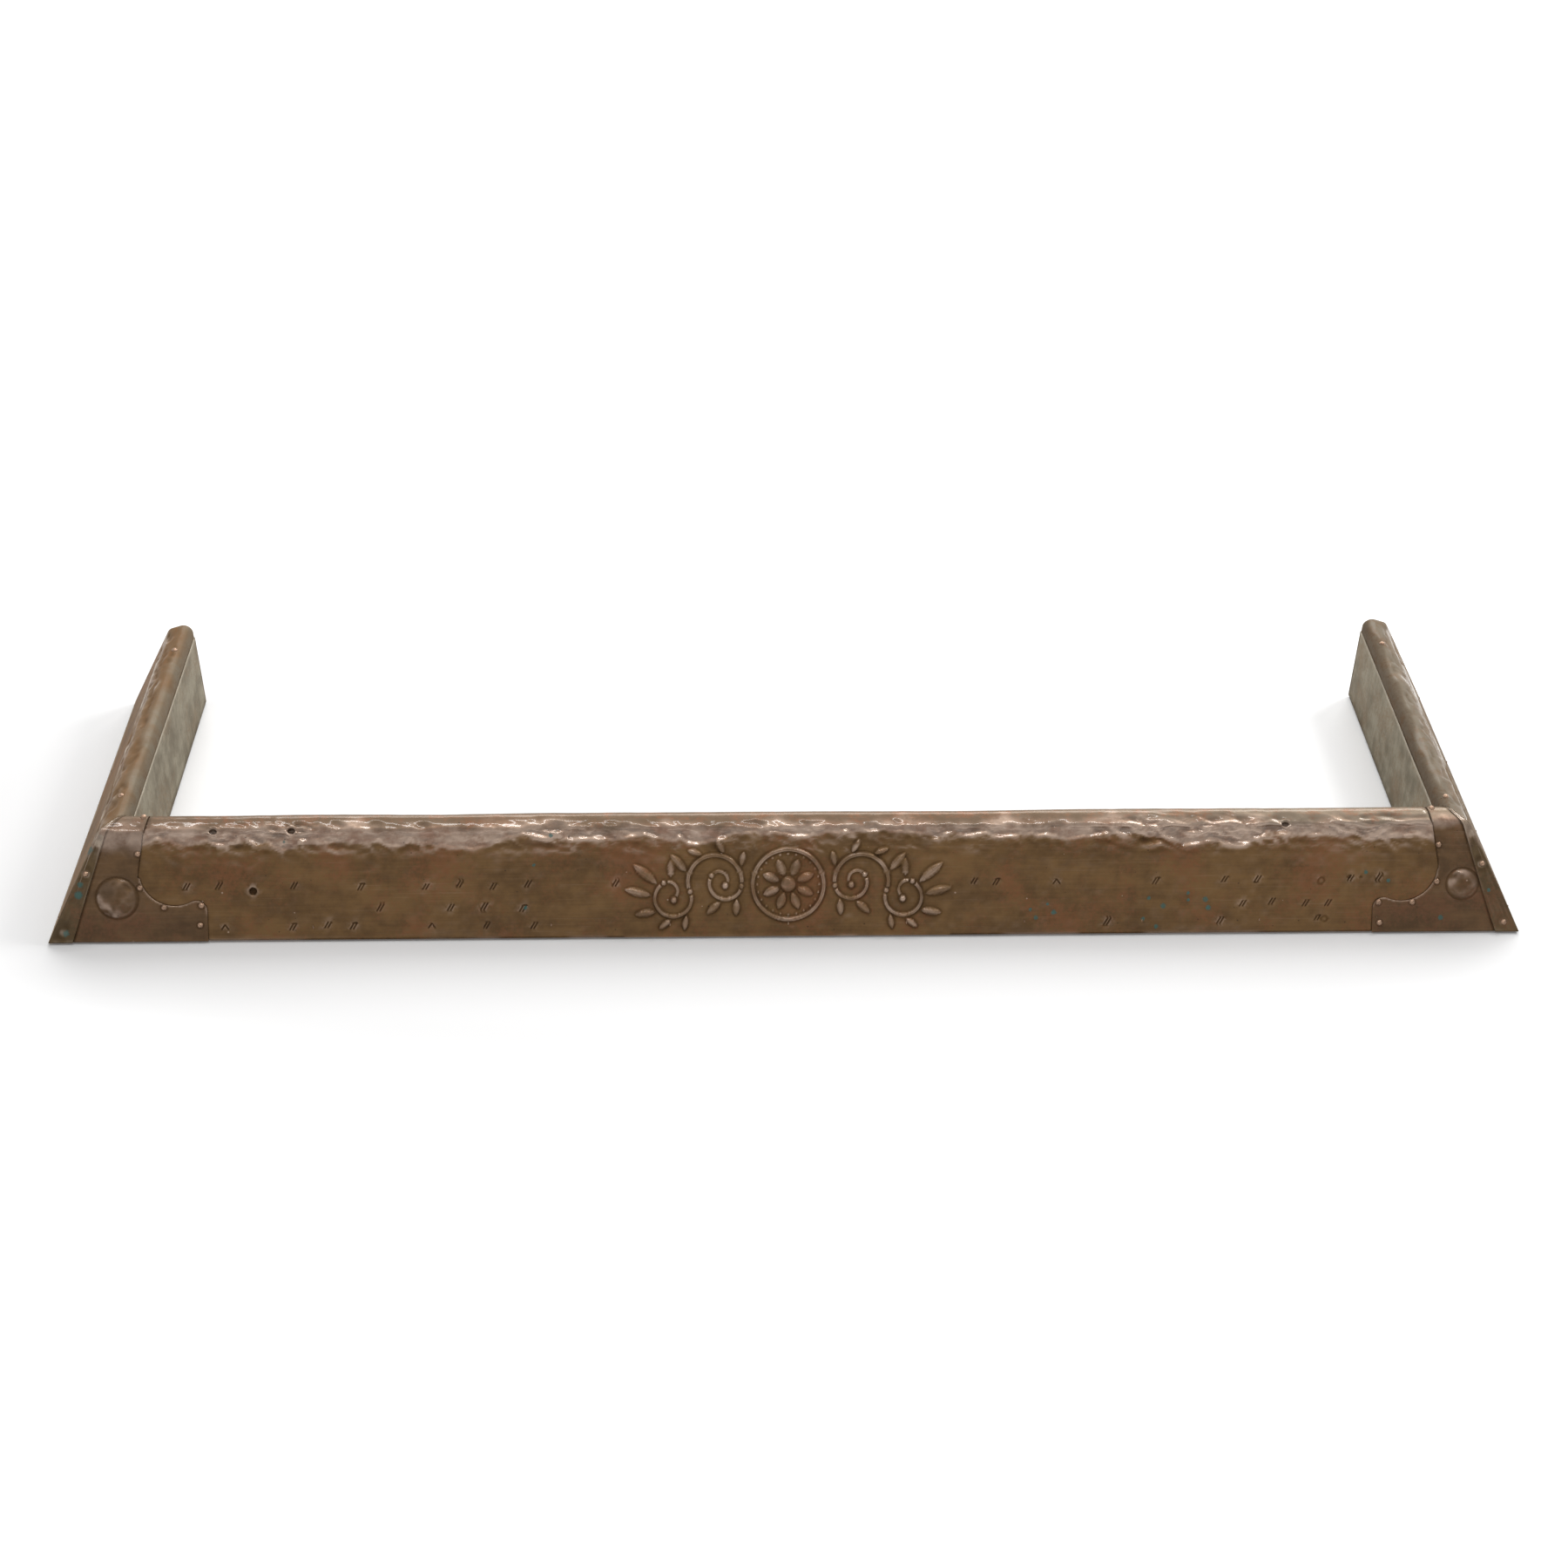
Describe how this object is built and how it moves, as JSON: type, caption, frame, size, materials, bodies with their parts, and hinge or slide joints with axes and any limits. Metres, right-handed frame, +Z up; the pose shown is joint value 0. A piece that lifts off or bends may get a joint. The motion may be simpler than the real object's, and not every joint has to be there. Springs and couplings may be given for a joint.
{
  "type": "fire fender",
  "caption": "Low three-sided hearth fender: wedge-shaped wooden kerbs sheathed in pinned copper sheet, with a raised front ornament and bossed ogee corner plates.",
  "frame": {"origin": "middle of the bounding box, on the hearth surface that the fender stands on", "axes": "+X to the right along the front kerb, +Y from the front towards the fireplace, +Z up; the ornamented face looks along -Y"},
  "size_m": [1.37, 0.39, 0.098],
  "materials": {
    "copper": "aged copper sheet, brown patina, hammered roll",
    "dark_copper": "aged copper sheet, darker brown patina",
    "bright_copper": "rubbed copper of pins and tacks",
    "inner_copper": "dull grey-brown copper sheet with upright streaks",
    "pine": "planed softwood, unfinished",
    "steel": "plain wood screws"
  },
  "bodies": {
    "root": {"front_former": "pine", "left_arm_former": "pine", "right_arm_former": "pine", "front_sheet": "copper", "left_corner_plate": "dark_copper", "right_corner_plate": "dark_copper", "left_arm_sheet": "copper", "right_arm_sheet": "copper", "front_inner_sheet": "inner_copper", "left_inner_sheet": "inner_copper", "right_inner_sheet": "inner_copper", "left_end_cap": "copper", "right_end_cap": "copper", "left_corner_pins": "bright_copper", "right_corner_pins": "bright_copper", "left_arm_pins": "bright_copper", "right_arm_pins": "bright_copper", "left_mitre_screws": "steel", "right_mitre_screws": "steel", "front_base_tacks": "bright_copper", "left_base_tacks": "bright_copper", "right_base_tacks": "bright_copper", "left_end_tacks": "bright_copper", "right_end_tacks": "bright_copper"}
  },
  "joints": []
}
